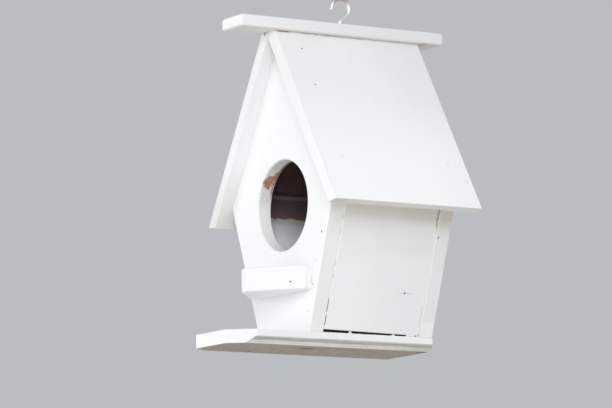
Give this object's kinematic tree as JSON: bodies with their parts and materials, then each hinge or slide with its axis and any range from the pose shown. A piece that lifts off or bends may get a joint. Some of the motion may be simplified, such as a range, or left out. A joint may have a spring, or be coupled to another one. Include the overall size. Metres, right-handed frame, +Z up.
{
  "type": "hanging wooden birdhouse",
  "caption": "Small hanging birdhouse of painted boards: steep roof, round entrance, pointed perch, long base board and a screw hook in the ridge cap.",
  "frame": {"origin": "on the underside of the base board, on the line of the hook, half-way between the gable walls", "axes": "+Z up, +Y from the entrance to the back, +X to the right seen from the front"},
  "size_m": [0.1436, 0.1651, 0.2188],
  "materials": {
    "white_painted_wood": "brushed white paint on pine boards",
    "nickel_wire": "dull nickel-plated wire",
    "dark_iron": "rusty ends of headless brads, on pieces of the visual model"
  },
  "bodies": {
    "root": {"base_board": "white_painted_wood", "front_wall": "white_painted_wood", "back_wall": "white_painted_wood", "right_side_wall": "white_painted_wood", "left_side_wall": "white_painted_wood", "perch_shelf": "white_painted_wood", "right_roof_panel": "white_painted_wood", "left_roof_panel": "white_painted_wood", "ridge_cap": "white_painted_wood", "screw_hook": "nickel_wire"}
  },
  "joints": []
}
